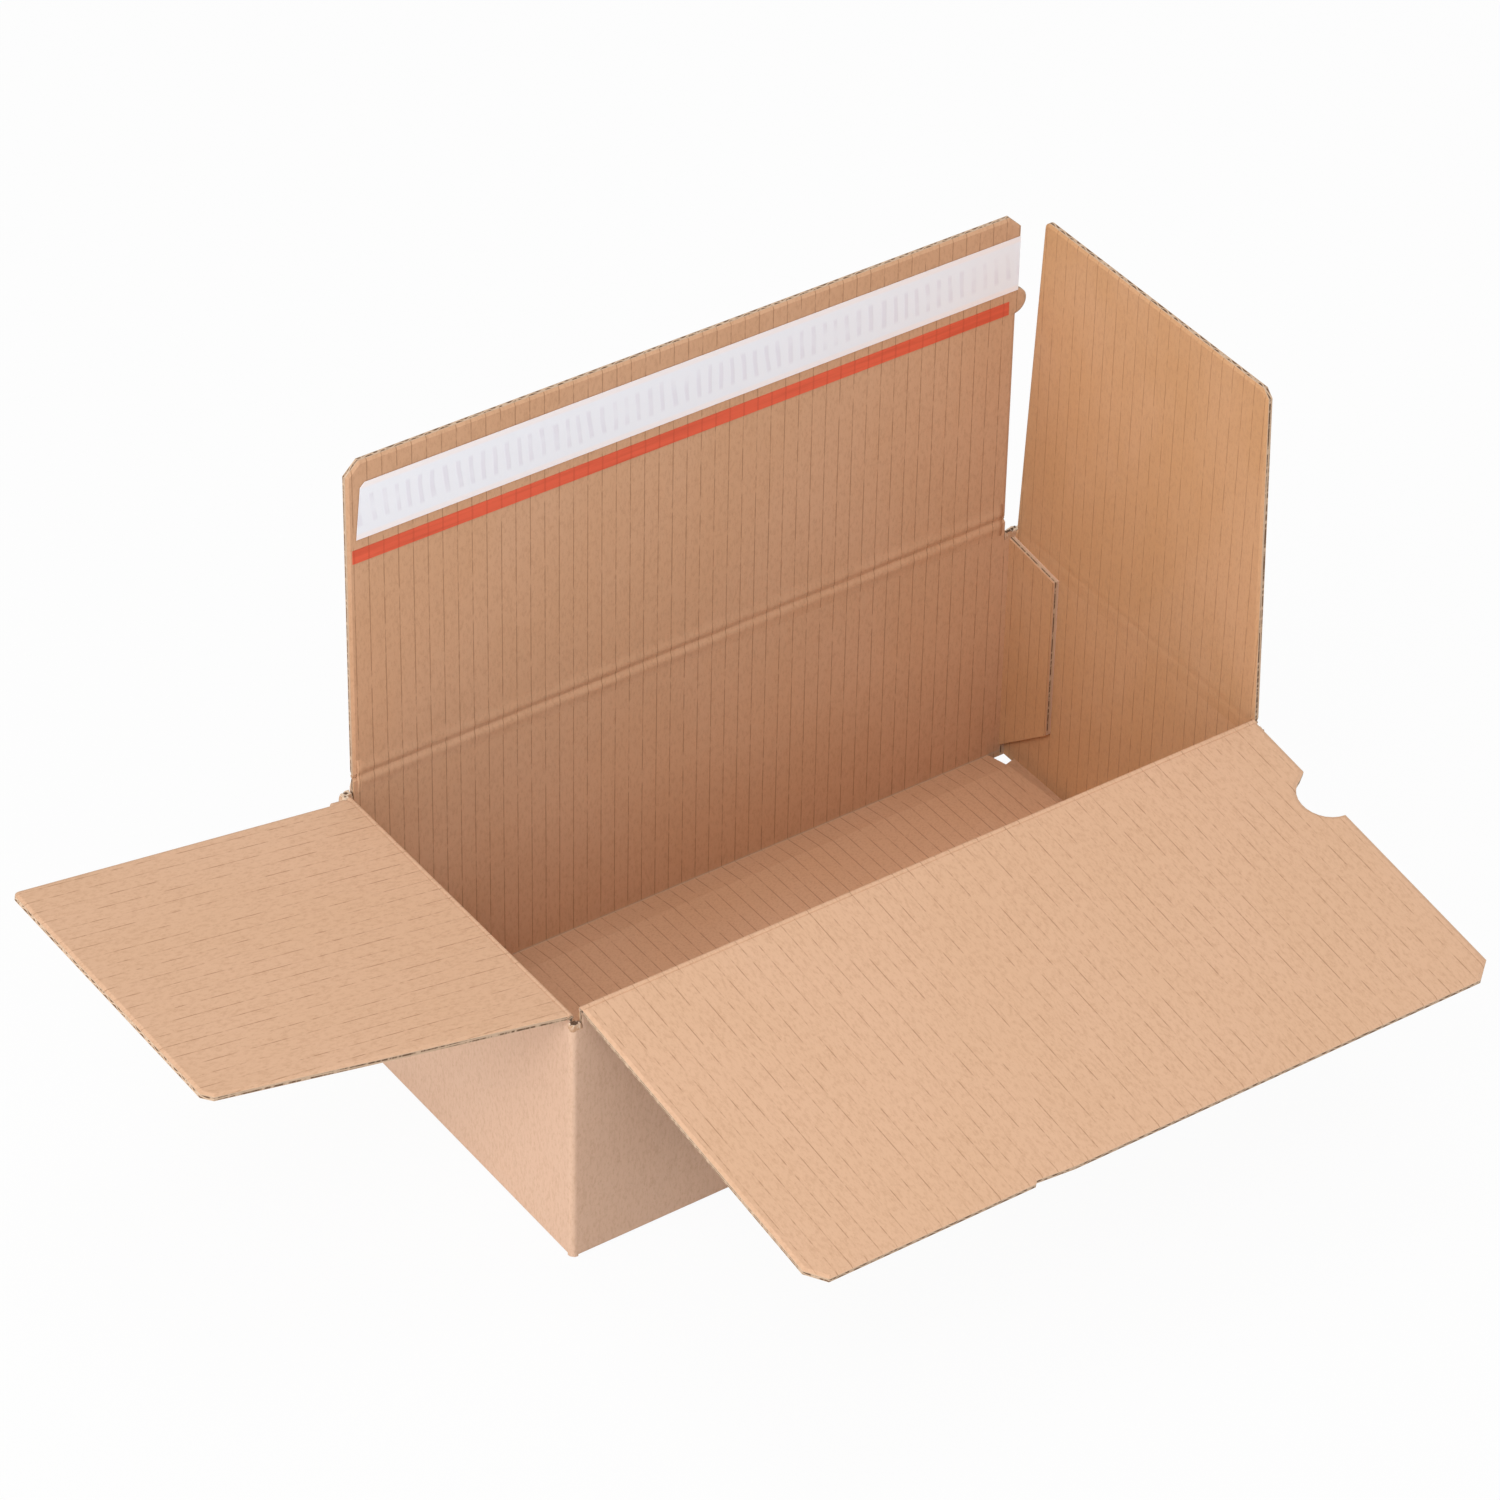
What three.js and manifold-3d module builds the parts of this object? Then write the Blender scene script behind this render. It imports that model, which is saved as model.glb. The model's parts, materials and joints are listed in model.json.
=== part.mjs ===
// A crash lock mailing box in single-wall corrugated board, standing open. Millimetres, +Z up.
// The origin is the middle of the footprint on the table. The long side runs along X, the
// rear wall is at +Y, and the four lid flaps turn on creases along the tops of the walls.

import * as THREE from 'three';
import { mergeVertices } from 'three/addons/utils/BufferGeometryUtils.js';
import Module from 'manifold-3d';

const wasm = await Module();
wasm.setup();

// Board
const boardThickness = 2.8;
const cutEdgeThickness = 1.6; // what the cutting die leaves of the board at a cut edge
const cutEdgeCrush = 1.4; // how far in from the edge the crushing reaches
const foldClearance = 0.3; // between pieces that turn past each other
const stackClearance = 0.2; // between closed flaps that lie on each other

// Box
const innerLength = 305;
const innerWidth = 151;
const sideCreaseHeight = 111.5; // table to the creases of the side flaps, at mid-board
const cornerRadius = 2.4; // outside of the upright folds
const bottomFoldRadius = 1.4;
const cornerSlotDepth = 4; // below the side creases, where the lid flaps part at a corner

// Peel-and-seal tape and tear strip on the rear lid flap
const tapeGap = 0.05;
const adhesiveThickness = 0.3;
const linerThickness = 0.2;
const adhesiveMargin = 1; // liner edge to adhesive edge
const linerHeight = 24.1;
const linerFromTip = 9.4;
const linerSlant = 2; // how far the liner's left end leans in over its height
const linerLeftInset = 3.6; // rear flap's left edge to the liner
const tearStripThickness = 0.25;
const tearStripHeight = 5.8;
const tearStripFromTip = 38;
const tearStripLeftInset = 2;
const tearStripRightInset = 3.6;

// Rear lid flap
const rearFlapLength = 140.3;
const rearFlapLeftGap = 2.5; // inner face of the left wall to the flap's edge
const rearFlapRightGap = 5.3; // inner face of the right wall to its edge below the pull tab
const rearFlapStep = 0.8; // how much wider the flap is above the pull tab
const rearFlapChamfer = 5.6;
const pullTabRadius = 5.8;
const pullTabFromTip = 39.2; // flap tip to the middle of the tab
const rearFlapOpening = 0; // degrees out from upright
const rearFlapReach = 145; // degrees out from upright where its tip nears the table

// Front lid flap
const frontFlapLength = 145.7;
const frontFlapGap = 1.9; // inner faces of the side walls to the flap's ends
const frontRightChamferWidth = 8;
const frontRightChamferHeight = 6.8;
const frontLeftChamferWidth = 6;
const frontLeftChamferHeight = 7.5;
const fingerNotchRadius = 11.7;
const fingerNotchFromCrease = 43.7;
const fingerNotchOverhang = 0.6; // how far outside the edge the notch is centred
const fingerNotchEasing = 2; // the inner lip is eased, the outer one left sharp
const tipDentStart = -57; // a dent in the tip edge, from the middle of the flap
const tipDentEnd = -40;
const tipDentDepth = 1.3;
const frontFlapOpening = 98.4;
const frontFlapReach = 140;

// Side lid flaps: gaps to the inner faces of the front and rear walls at the crease and the tip
const leftFlap = {
  length: 144.3, frontGap: 0.3, rearGap: 4.5, tipFrontGap: 9.9, tipRearGap: 7.5,
  frontCorner: 3.6, rearCorner: 3, opening: 81.1, reach: 139,
};
const rightFlap = {
  length: 146.5, frontGap: 1.3, rearGap: 0.4, tipFrontGap: 8.1, tipRearGap: 7.9,
  frontCorner: 3.2, rearCorner: 3.5, opening: 0, reach: 138,
};
const leftFlapBump = { start: 2, end: 8, height: 1.5 }; // left over where the slot was cut short

// Glue flap: carries on from the rear wall, inside the right wall
const glueFlapReach = 29;
const glueFlapTopSlope = 4;
const glueFlapBottom = 4.8;
const glueFlapBottomRise = 24.2;

// Crash lock base
const minorFlapThickness = 2.1;
const minorFlapLength = 64;
const minorFlapCutBack = 6.5; // rear wall to the minor flap, at its crease
const minorFlapTaper = 17;
const gluedTabWidth = 30; // pressed under the major flap, along the diagonal fold
const majorRampLength = 13; // from the crease up to where the flap lies on the minor flaps
const majorRightGap = 8.2; // right wall to the rear major flap at its crease
const majorRightFlare = 3.6;
const majorRightFlareLength = 41;
const majorLeftGap = 1.5;
const lockOffset = -12; // middle of the lock, off the middle of the box
const lockSlit = 2;
const lockLap = 2; // how far the upper flap reaches past the middle line
const lockTongueWidth = 82;
const lockTongueReach = 38;
const lockTongueChamfer = 14;
const lockRampStart = 20;

// Worked out from the sizes above
const halfBoard = boardThickness / 2;
const halfLength = innerLength / 2 + boardThickness;
const halfWidth = innerWidth / 2 + boardThickness;
const tapeStack = 2 * tapeGap + adhesiveThickness + linerThickness;
const frontCreaseHeight = sideCreaseHeight + boardThickness + stackClearance;
const rearCreaseHeight = frontCreaseHeight + boardThickness + tapeStack + stackClearance;
const majorFlapRise = minorFlapThickness + foldClearance;
const insideBevel = THREE.MathUtils.degToRad(45);
const flapTail = 2 * cutEdgeCrush; // drawn below the crease and cut away by the crease wedge
const arcSegments = 6;
const overcut = 1; // how far a cutting block reaches past what it cuts

const boardMaterial = new THREE.MeshStandardMaterial({
  color: 0xc99c74, roughness: 0.9, metalness: 0, flatShading: true,
});
const adhesiveMaterial = new THREE.MeshStandardMaterial({
  color: 0xe6dcc8, roughness: 0.5, metalness: 0, flatShading: true,
});
const linerMaterial = new THREE.MeshStandardMaterial({
  color: 0xe4e0ea, roughness: 0.45, metalness: 0, flatShading: true,
});
const tearMaterial = new THREE.MeshStandardMaterial({
  color: 0xd2593c, roughness: 0.5, metalness: 0, flatShading: true,
});

/** A closed three.js geometry as a solid that can be joined and cut. */
function solid(geometry) {
  geometry.deleteAttribute('normal');
  geometry.deleteAttribute('uv');
  const merged = mergeVertices(geometry, 1e-4);
  return new wasm.Manifold(new wasm.Mesh({
    numProp: 3,
    vertProperties: new Float32Array(merged.attributes.position.array),
    triVerts: new Uint32Array(merged.index.array),
  }));
}

/** A solid as a three.js geometry. */
function surface(body) {
  const mesh = body.getMesh();
  const geometry = new THREE.BufferGeometry();
  geometry.setAttribute('position', new THREE.BufferAttribute(mesh.vertProperties, 3));
  geometry.setIndex(new THREE.BufferAttribute(mesh.triVerts, 1));
  geometry.computeVertexNormals();
  return geometry;
}

/** A closed outline through corner points. */
function polygon(points) {
  return new THREE.Shape(points.map(([x, y]) => new THREE.Vector2(x, y)));
}

/** An outline's points, without the doubles where an arc starts at the end of a line. */
function singlePoints(outline) {
  const points = outline.getPoints(arcSegments);
  const before = (i) => points[(i + points.length - 1) % points.length];
  return new THREE.Shape(points.filter((point, i) => point.distanceTo(before(i)) > 1e-3));
}

/** A plain extrusion of an outline, from low to high along its own Z. */
function extrusion(outline, low, high) {
  const geometry = new THREE.ExtrudeGeometry(singlePoints(outline), {
    depth: high - low, bevelEnabled: false,
  });
  return geometry.translate(0, 0, low);
}

/** A block between two corners. */
function block([x0, y0, z0], [x1, y1, z1]) {
  const geometry = new THREE.BoxGeometry(x1 - x0, y1 - y0, z1 - z0);
  geometry.translate((x0 + x1) / 2, (y0 + y1) / 2, (z0 + z1) / 2);
  return solid(geometry);
}

/** A cross-section, X outward and Y up, run the length of the wall that faces a turn. */
function runAlongWall(section, distance, span, turn) {
  const geometry = extrusion(section, -span / 2, span / 2);
  geometry.translate(distance, 0, 0);
  geometry.rotateX(Math.PI / 2);
  geometry.rotateZ(turn - Math.PI / 2);
  return solid(geometry);
}

/** The slope, from level, of the bevels that let a flap open out to a reach in degrees. */
function outsideBevel(reach) {
  return THREE.MathUtils.degToRad(reach / 2 + 0.5);
}

// The walls

/** Wall cross-section: folded foot, upright board, and a crest that leaves room for the flap. */
function wallSection(height, reach) {
  const outside = outsideBevel(reach);
  const insideDrop = foldClearance / Math.cos(insideBevel);
  const outsideDrop = foldClearance / Math.cos(outside);
  const crest = (insideDrop - outsideDrop) / (Math.tan(insideBevel) + Math.tan(outside));
  const section = new THREE.Shape();
  section.moveTo(-halfBoard, 0);
  section.lineTo(halfBoard - bottomFoldRadius, 0);
  section.absarc(halfBoard - bottomFoldRadius, bottomFoldRadius, bottomFoldRadius, -Math.PI / 2, 0);
  section.lineTo(halfBoard, height - halfBoard * Math.tan(outside) - outsideDrop);
  section.lineTo(crest, height + crest * Math.tan(insideBevel) - insideDrop);
  section.lineTo(-halfBoard, height - halfBoard * Math.tan(insideBevel) - insideDrop);
  return section;
}

/** Outside of the box in plan: three folded corners, and the raw edge by the glue flap. */
function wallEnvelope() {
  const x = halfLength - cornerRadius;
  const y = halfWidth - cornerRadius;
  const rawEdge = y - stackClearance;
  const seamX = halfLength - boardThickness;
  const plan = new THREE.Shape();
  plan.moveTo(-x, -halfWidth);
  plan.absarc(x, -y, cornerRadius, -Math.PI / 2, 0);
  plan.lineTo(halfLength, rawEdge);
  plan.lineTo(seamX, rawEdge);
  plan.absarc(seamX - cornerRadius, y, cornerRadius, 0, Math.PI / 2);
  plan.absarc(-x, y, cornerRadius, Math.PI / 2, Math.PI);
  plan.absarc(-x, -y, cornerRadius, Math.PI, 1.5 * Math.PI);
  return solid(extrusion(plan, -overcut, rearCreaseHeight));
}

/** Cuts the slot where two lid flaps part, outside both flap ends. */
function cornerSlot(walls, signX, signY, fromX, fromY) {
  const floor = sideCreaseHeight - cornerSlotDepth;
  const x = [signX * fromX, signX * (halfLength + overcut)].sort((a, b) => a - b);
  const y = [signY * fromY, signY * (halfWidth + overcut)].sort((a, b) => a - b);
  return walls.subtract(block([x[0], y[0], floor], [x[1], y[1], rearCreaseHeight + overcut]));
}

/** The four walls, folded from one strip of board. */
function buildWalls() {
  const longSpan = 2 * halfLength;
  const shortSpan = 2 * halfWidth;
  const front = runAlongWall(
    wallSection(frontCreaseHeight, frontFlapReach), halfWidth - halfBoard, longSpan, 0);
  const right = runAlongWall(
    wallSection(sideCreaseHeight, rightFlap.reach), halfLength - halfBoard, shortSpan, Math.PI / 2);
  const rear = runAlongWall(
    wallSection(rearCreaseHeight, rearFlapReach), halfWidth - halfBoard, longSpan, Math.PI);
  const left = runAlongWall(
    wallSection(sideCreaseHeight, leftFlap.reach), halfLength - halfBoard, shortSpan, -Math.PI / 2);
  let walls = front.add(right).add(rear).add(left).intersect(wallEnvelope());
  const longEnd = innerLength / 2;
  const sideEnd = innerWidth / 2;
  walls = cornerSlot(walls, -1, -1, longEnd - frontFlapGap, sideEnd - leftFlap.frontGap);
  walls = cornerSlot(walls, 1, -1, longEnd - frontFlapGap, sideEnd - rightFlap.frontGap);
  walls = cornerSlot(walls, -1, 1, longEnd - rearFlapLeftGap, sideEnd - leftFlap.rearGap);
  walls = cornerSlot(walls, 1, 1, longEnd - rearFlapRightGap, sideEnd - rightFlap.rearGap);
  return walls.add(buildGlueFlap());
}

/** The glue flap, pasted to the inside of the right wall. */
function buildGlueFlap() {
  const rear = halfWidth - halfBoard;
  const free = innerWidth / 2 - glueFlapReach;
  const top = sideCreaseHeight - cornerSlotDepth;
  const outline = polygon([
    [rear, glueFlapBottom],
    [rear, top],
    [free, top - glueFlapTopSlope],
    [free, glueFlapBottom + glueFlapBottomRise],
  ]);
  const inside = innerLength / 2 - boardThickness;
  const geometry = extrusion(outline, inside, inside + boardThickness + halfBoard);
  geometry.rotateX(Math.PI / 2);
  geometry.rotateZ(Math.PI / 2);
  return solid(geometry);
}

// The crash lock base: each half is a major flap with its lock tongue, and the minor flap
// whose diagonal tab is glued under the other half's major flap

/** Major flap cross-section, X towards its own wall: out of the crease and up to its level. */
function majorSection(free) {
  const wall = innerWidth / 2 + halfBoard;
  const ramp = innerWidth / 2 - majorRampLength;
  const top = majorFlapRise + boardThickness;
  return polygon([
    [wall, 0],
    [wall, boardThickness],
    [innerWidth / 2, boardThickness],
    [ramp, top],
    [free, top],
    [free, majorFlapRise],
    [ramp, majorFlapRise],
    [innerWidth / 2, 0],
  ]);
}

/** Major flap in plan, with a bay where the lock tongue dips under the other flap. */
function majorPlan(lock) {
  const wall = innerWidth / 2 + halfBoard;
  const right = innerLength / 2 - majorRightGap;
  const flareEnd = innerWidth / 2 - majorRightFlareLength;
  const left = -innerLength / 2 + majorLeftGap;
  const buttEdge = lockLap + 2 * foldClearance;
  const tongueEnd = lock + lockTongueWidth;
  return polygon([
    [left, wall],
    [left, -lockLap],
    [lock - lockSlit / 2, -lockLap],
    [lock - lockSlit / 2, lockRampStart],
    [tongueEnd + lockSlit / 2, lockRampStart],
    [tongueEnd + lockSlit / 2, buttEdge],
    [right + majorRightFlare, buttEdge],
    [right + majorRightFlare, flareEnd],
    [right, wall],
  ]);
}

/** The lock tongue: dips from its flap's level to lie on the table under the other flap. */
function lockTongue(lock) {
  const top = majorFlapRise + boardThickness;
  const level = lockLap + 2 * foldClearance;
  const section = polygon([
    [lockRampStart + overcut, majorFlapRise],
    [lockRampStart + overcut, top],
    [lockRampStart, top],
    [level, minorFlapThickness],
    [-lockTongueReach, minorFlapThickness],
    [-lockTongueReach, 0],
    [level, 0],
    [lockRampStart, majorFlapRise],
  ]);
  const near = lock + lockSlit / 2;
  const far = lock + lockTongueWidth - lockSlit / 2;
  const plan = polygon([
    [near, lockRampStart + overcut],
    [near, -lockTongueReach + lockTongueChamfer],
    [near + lockTongueChamfer, -lockTongueReach],
    [far - lockTongueChamfer, -lockTongueReach],
    [far, -lockTongueReach + lockTongueChamfer],
    [far, lockRampStart + overcut],
  ]);
  const run = runAlongWall(section, 0, 2 * innerLength, Math.PI);
  return run.intersect(solid(extrusion(plan, -overcut, top + overcut)));
}

/** Minor flap in plan, with the diagonal fold on its front side. */
function minorPlan(free) {
  const wall = innerLength / 2 + halfBoard;
  const corner = -innerWidth / 2;
  const diagonal = wall - free;
  const rear = innerWidth / 2 - minorFlapCutBack;
  return polygon([
    [wall, corner],
    [wall, rear],
    [free, rear - minorFlapTaper],
    [free, corner + diagonal],
  ]);
}

/** Minor flap, with the tab that is folded back on the diagonal and glued under the major. */
function buildMinorFlap() {
  const wall = innerLength / 2 + halfBoard;
  const free = innerLength / 2 - minorFlapLength;
  const corner = -innerWidth / 2;
  const tabFoot = majorRampLength;
  const tab = polygon([
    [wall - tabFoot, corner + tabFoot],
    [wall - tabFoot, corner + tabFoot + gluedTabWidth],
    [free, corner + wall - free + gluedTabWidth],
    [free, corner + wall - free],
  ]);
  const flap = solid(extrusion(minorPlan(free), 0, minorFlapThickness));
  const pressedTab = solid(extrusion(tab, 0, majorFlapRise));
  return flap.add(pressedTab);
}

/** One half of the base, as it lies at the rear and right walls. */
function buildBaseHalf(lock) {
  const section = majorSection(-lockTongueReach);
  const top = majorFlapRise + boardThickness;
  const plan = solid(extrusion(majorPlan(lock), -overcut, top + overcut));
  const major = runAlongWall(section, 0, 2 * innerLength, Math.PI).intersect(plan);
  return major.add(lockTongue(lock)).add(buildMinorFlap());
}

/** The carton: walls, glue flap and base, which are one folded and glued sheet. */
function buildCarton() {
  const rearHalf = buildBaseHalf(lockOffset);
  const frontHalf = buildBaseHalf(-lockOffset).rotate([0, 0, 180]);
  return buildWalls().add(rearHalf).add(frontHalf);
}

// The lid flaps, drawn as seen from outside the box: X along the crease, Y up from it

/** Board cut to an outline, with its cut edges crushed thin. */
function cutBoard(outline) {
  const crush = (boardThickness - cutEdgeThickness) / 2;
  const geometry = new THREE.ExtrudeGeometry(singlePoints(outline), {
    depth: cutEdgeThickness,
    bevelThickness: crush,
    bevelSize: cutEdgeCrush,
    bevelOffset: -cutEdgeCrush,
    bevelSegments: 1,
  });
  return solid(geometry.translate(0, 0, -cutEdgeThickness / 2));
}

/** Everything above a crease, with the bevels that let the board turn about mid-thickness. */
function creaseWedge(length, span, reach) {
  const inside = halfBoard * Math.tan(insideBevel);
  const outside = halfBoard * Math.tan(outsideBevel(reach));
  const face = halfBoard + overcut;
  const section = polygon([
    [0, 0],
    [face, outside * face / halfBoard],
    [face, length + overcut],
    [-face, length + overcut],
    [-face, inside * face / halfBoard],
  ]);
  const geometry = extrusion(section, -span, span);
  return solid(geometry.rotateY(-Math.PI / 2));
}

/** A lid flap: board cut to an outline and trimmed at its crease. */
function lidFlap(outline, length, reach) {
  return cutBoard(outline).intersect(creaseWedge(length, innerLength, reach));
}

/** Front lid flap, with the finger notch in its right end. */
function frontFlapOutline() {
  const end = innerLength / 2 - frontFlapGap;
  const notchX = end + fingerNotchOverhang;
  const lip = Math.asin(fingerNotchOverhang / fingerNotchRadius);
  const eased = 1.5 * Math.PI - lip - 2 * fingerNotchEasing / fingerNotchRadius;
  const outline = new THREE.Shape();
  outline.moveTo(-end, -flapTail);
  outline.lineTo(end, -flapTail);
  outline.lineTo(end, fingerNotchFromCrease - fingerNotchRadius - fingerNotchEasing);
  outline.absarc(
    notchX, fingerNotchFromCrease, fingerNotchRadius, eased, Math.PI / 2 + lip, true);
  outline.lineTo(end, frontFlapLength - frontRightChamferHeight);
  outline.lineTo(end - frontRightChamferWidth, frontFlapLength);
  outline.lineTo(tipDentEnd, frontFlapLength);
  outline.lineTo(tipDentStart + tipDentDepth, frontFlapLength - tipDentDepth);
  outline.lineTo(tipDentStart, frontFlapLength);
  outline.lineTo(-end + frontLeftChamferWidth, frontFlapLength);
  outline.lineTo(-end, frontFlapLength - frontLeftChamferHeight);
  return outline;
}

/** Left side lid flap: tapered, with a bump beside the crease at its rear edge. */
function leftFlapOutline() {
  const flap = leftFlap;
  const rear = -innerWidth / 2 + flap.rearGap;
  const front = innerWidth / 2 - flap.frontGap;
  const tipRear = -innerWidth / 2 + flap.tipRearGap;
  const tipFront = innerWidth / 2 - flap.tipFrontGap;
  const outline = new THREE.Shape();
  outline.moveTo(rear, -flapTail);
  outline.lineTo(front, -flapTail);
  outline.lineTo(front, 0);
  outline.lineTo(tipFront, flap.length - flap.frontCorner);
  outline.lineTo(tipFront - flap.frontCorner, flap.length);
  outline.absarc(
    tipRear + flap.rearCorner, flap.length - flap.rearCorner, flap.rearCorner,
    Math.PI / 2, Math.PI);
  outline.lineTo(rear, leftFlapBump.end + leftFlapBump.height);
  outline.lineTo(rear - leftFlapBump.height, leftFlapBump.end);
  outline.lineTo(rear - leftFlapBump.height, leftFlapBump.start);
  outline.lineTo(rear, leftFlapBump.start - leftFlapBump.height);
  return outline;
}

/** Right side lid flap: tapered, with one corner rounded and one clipped. */
function rightFlapOutline() {
  const flap = rightFlap;
  const front = -innerWidth / 2 + flap.frontGap;
  const rear = innerWidth / 2 - flap.rearGap;
  const tipFront = -innerWidth / 2 + flap.tipFrontGap;
  const tipRear = innerWidth / 2 - flap.tipRearGap;
  const outline = new THREE.Shape();
  outline.moveTo(front, -flapTail);
  outline.lineTo(rear, -flapTail);
  outline.lineTo(rear, 0);
  outline.absarc(
    tipRear - flap.rearCorner, flap.length - flap.rearCorner, flap.rearCorner, 0, Math.PI / 2);
  outline.lineTo(tipFront + flap.frontCorner, flap.length);
  outline.lineTo(tipFront, flap.length - flap.frontCorner);
  outline.lineTo(front, 0);
  return outline;
}

// Ends of the rear flap as seen from behind, which the tape and the tear strip line up with
const rearFlapEnd = innerLength / 2 - rearFlapLeftGap;
const rearFlapTabEnd = -innerLength / 2 + rearFlapRightGap;

/** Rear lid flap, with the pull tab that starts the tear strip. */
function rearFlapOutline() {
  const length = rearFlapLength;
  const upper = rearFlapTabEnd - rearFlapStep;
  const tabX = -innerLength / 2 + foldClearance + pullTabRadius;
  const tabY = length - pullTabFromTip;
  const top = Math.PI - Math.acos((tabX - upper) / pullTabRadius);
  const bottom = Math.PI + Math.acos((tabX - rearFlapTabEnd) / pullTabRadius);
  const outline = new THREE.Shape();
  outline.moveTo(rearFlapTabEnd, -flapTail);
  outline.lineTo(rearFlapEnd, -flapTail);
  outline.lineTo(rearFlapEnd, length - rearFlapChamfer);
  outline.lineTo(rearFlapEnd - rearFlapChamfer, length);
  outline.lineTo(upper + rearFlapChamfer, length);
  outline.lineTo(upper, length - rearFlapChamfer);
  outline.absarc(tabX, tabY, pullTabRadius, top, bottom);
  return outline;
}

/** A thin strip on the rear flap's inner face, a given distance off the board. */
function innerStrip(points, offBoard, thickness) {
  const face = -halfBoard - offBoard;
  return solid(extrusion(polygon(points), face - thickness, face));
}

/** Outline of the release liner, drawn smaller by a margin for the adhesive under it. */
function linerOutline(margin) {
  const top = rearFlapLength - linerFromTip - margin;
  const bottom = rearFlapLength - linerFromTip - linerHeight + margin;
  const near = rearFlapTabEnd - rearFlapStep + cutEdgeCrush / 2 + margin;
  const far = rearFlapEnd - linerLeftInset - margin;
  const corner = linerSlant;
  return [
    [near, bottom],
    [far, bottom],
    [far - linerSlant, top - corner],
    [far - linerSlant - corner, top],
    [near, top],
  ];
}

/** Outline of the tear strip, below the liner and level with the pull tab. */
function tearStripOutline() {
  const top = rearFlapLength - tearStripFromTip;
  const near = rearFlapTabEnd + tearStripRightInset;
  const far = rearFlapEnd - tearStripLeftInset;
  return [
    [near, top - tearStripHeight],
    [far, top - tearStripHeight],
    [far, top],
    [near, top],
  ];
}

// The scene graph

/** A named sub-part. */
function piece(name, body, material) {
  const mesh = new THREE.Mesh(surface(body), material);
  mesh.name = name;
  return mesh;
}

/** A flap and what it carries, hung on the crease of the wall that faces a turn. */
function hang(meshes, turn, distance, height, opening) {
  const flap = new THREE.Group();
  flap.position.set(0, -distance, height);
  flap.rotation.x = Math.PI / 2 + THREE.MathUtils.degToRad(opening);
  flap.add(...meshes);
  const side = new THREE.Group();
  side.rotation.z = turn;
  side.add(flap);
  return side;
}

const longWall = halfWidth - halfBoard;
const sideWall = halfLength - halfBoard;

const frontFlap = piece(
  'front_flap', lidFlap(frontFlapOutline(), frontFlapLength, frontFlapReach), boardMaterial);
const leftSideFlap = piece(
  'left_flap', lidFlap(leftFlapOutline(), leftFlap.length, leftFlap.reach), boardMaterial);
const rightSideFlap = piece(
  'right_flap', lidFlap(rightFlapOutline(), rightFlap.length, rightFlap.reach), boardMaterial);
const rearFlap = piece(
  'rear_flap', lidFlap(rearFlapOutline(), rearFlapLength, rearFlapReach), boardMaterial);
const adhesive = piece(
  'adhesive_strip', innerStrip(linerOutline(adhesiveMargin), tapeGap, adhesiveThickness),
  adhesiveMaterial);
const liner = piece(
  'release_liner', innerStrip(linerOutline(0), 2 * tapeGap + adhesiveThickness, linerThickness),
  linerMaterial);
const tearStrip = piece(
  'tear_strip', innerStrip(tearStripOutline(), tapeGap, tearStripThickness), tearMaterial);

const carton = new THREE.Group();
carton.add(piece('carton_body', buildCarton(), boardMaterial));
carton.add(hang([frontFlap], 0, longWall, frontCreaseHeight, frontFlapOpening));
carton.add(hang([rightSideFlap], Math.PI / 2, sideWall, sideCreaseHeight, rightFlap.opening));
carton.add(hang(
  [rearFlap, adhesive, liner, tearStrip], Math.PI, longWall, rearCreaseHeight, rearFlapOpening));
carton.add(hang([leftSideFlap], -Math.PI / 2, sideWall, sideCreaseHeight, leftFlap.opening));

export default carton;
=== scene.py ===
"""Looks of an open crash lock mailing box in brown corrugated board.

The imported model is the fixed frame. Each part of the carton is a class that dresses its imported
nodes and builds the finer pieces that go with them, and each finish is a frozen dataclass.
"""

from __future__ import annotations

import json
import logging
import math
from dataclasses import dataclass
from enum import Enum
from functools import reduce

import bmesh
import bpy
from mathutils import Euler, Matrix, Vector, noise

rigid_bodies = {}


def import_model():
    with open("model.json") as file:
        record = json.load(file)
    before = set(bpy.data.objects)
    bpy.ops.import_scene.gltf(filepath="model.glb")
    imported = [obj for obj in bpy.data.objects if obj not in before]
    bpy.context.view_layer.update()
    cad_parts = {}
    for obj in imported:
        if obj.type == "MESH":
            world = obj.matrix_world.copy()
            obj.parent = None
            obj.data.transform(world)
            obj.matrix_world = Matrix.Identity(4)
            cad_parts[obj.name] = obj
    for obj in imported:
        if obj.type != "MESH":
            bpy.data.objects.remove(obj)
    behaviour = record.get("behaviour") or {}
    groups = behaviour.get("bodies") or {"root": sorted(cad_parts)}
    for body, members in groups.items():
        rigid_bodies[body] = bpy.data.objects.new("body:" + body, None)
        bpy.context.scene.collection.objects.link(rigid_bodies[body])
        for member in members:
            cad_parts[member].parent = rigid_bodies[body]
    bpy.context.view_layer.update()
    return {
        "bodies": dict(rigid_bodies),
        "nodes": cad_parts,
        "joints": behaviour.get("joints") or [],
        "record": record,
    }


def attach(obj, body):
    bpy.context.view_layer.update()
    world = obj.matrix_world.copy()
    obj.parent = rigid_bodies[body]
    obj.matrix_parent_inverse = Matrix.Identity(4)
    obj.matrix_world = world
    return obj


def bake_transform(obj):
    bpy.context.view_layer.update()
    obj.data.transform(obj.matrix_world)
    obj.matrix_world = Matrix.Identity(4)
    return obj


LOG = logging.getLogger("crash_lock_box")
MM = 0.001
SHEET_PLACE = "sheet_place"  # attribute that keeps a bending piece's place on the flat board

Colour = tuple[float, float, float, float]
Input = bpy.types.NodeSocket | float | tuple


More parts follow.
